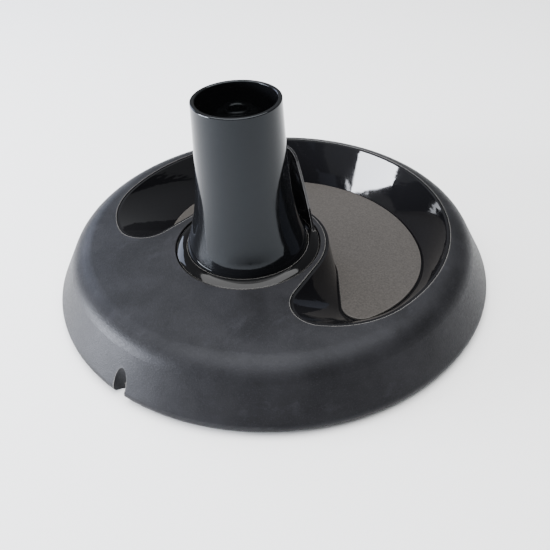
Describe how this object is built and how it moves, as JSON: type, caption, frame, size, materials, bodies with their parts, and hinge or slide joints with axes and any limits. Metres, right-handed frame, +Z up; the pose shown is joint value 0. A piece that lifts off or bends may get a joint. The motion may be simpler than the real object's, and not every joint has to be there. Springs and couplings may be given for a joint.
{
  "type": "pedestal base with lift-out tray",
  "caption": "Round weighted pedestal base with a kidney-shaped lift-out tray, a cord notch and a flared glossy column that swivels",
  "frame": {"origin": "centre of the round base, on the floor", "axes": "+Z up, -Y towards the tray in front, +Y towards the column and the cord notch behind"},
  "size_m": [0.3794, 0.3793, 0.178],
  "materials": {
    "textured_shell": "fine spark-eroded grain, satin sheen, light scuffs",
    "gloss_tray": "piano black, high gloss",
    "grey_mat": "matte, fine pebble grain",
    "gloss_column": "piano black, high gloss",
    "black_plate": "black powder coat",
    "iron": "as cast",
    "zinc_steel": "bright zinc plate",
    "white_acetal": "natural acetal",
    "black_nylon": "moulded nylon",
    "black_rubber": "matte rubber"
  },
  "bodies": {
    "base": {"access_cap": "black_nylon", "ballast_bar": "iron", "ballast_block": "iron", "ballast_screws": "zinc_steel", "base_plate": "black_plate", "base_shell": "textured_shell", "clamp_screws": "zinc_steel", "cord_clamp": "black_nylon", "foot_1": "black_rubber", "foot_2": "black_rubber", "foot_3": "black_rubber", "foot_4": "black_rubber", "foot_5": "black_rubber", "foot_6": "black_rubber", "hub": "iron", "hub_bolts": "zinc_steel", "pivot_bush": "white_acetal", "plate_screws": "zinc_steel", "stop_pin": "zinc_steel", "thrust_washer": "white_acetal"},
    "column": {"column": "gloss_column", "foot_ring": "gloss_column", "column_shield": "gloss_column", "turntable": "zinc_steel", "column_screws": "zinc_steel", "tie_tube": "zinc_steel", "top_washer": "zinc_steel", "top_nut": "zinc_steel", "lower_washer": "zinc_steel", "wave_washer": "zinc_steel", "lock_nut": "zinc_steel", "centring_disc": "black_nylon"},
    "tray": {"tray": "gloss_tray"},
    "mat": {"tray_mat": "grey_mat"}
  },
  "joints": [
    {"name": "column_swivel", "type": "hinge", "parent": "base", "child": "column", "pos_m": [0, 0.032, 0], "axis": [0, 0, 1], "range_deg": [-45, 45]},
    {"name": "tray_lift", "type": "slide", "parent": "base", "child": "tray", "axis": [0, 0, 1], "range_m": [0, 0.06]},
    {"name": "mat_lift", "type": "slide", "parent": "tray", "child": "mat", "axis": [0, 0, 1], "range_m": [0, 0.05]}
  ]
}
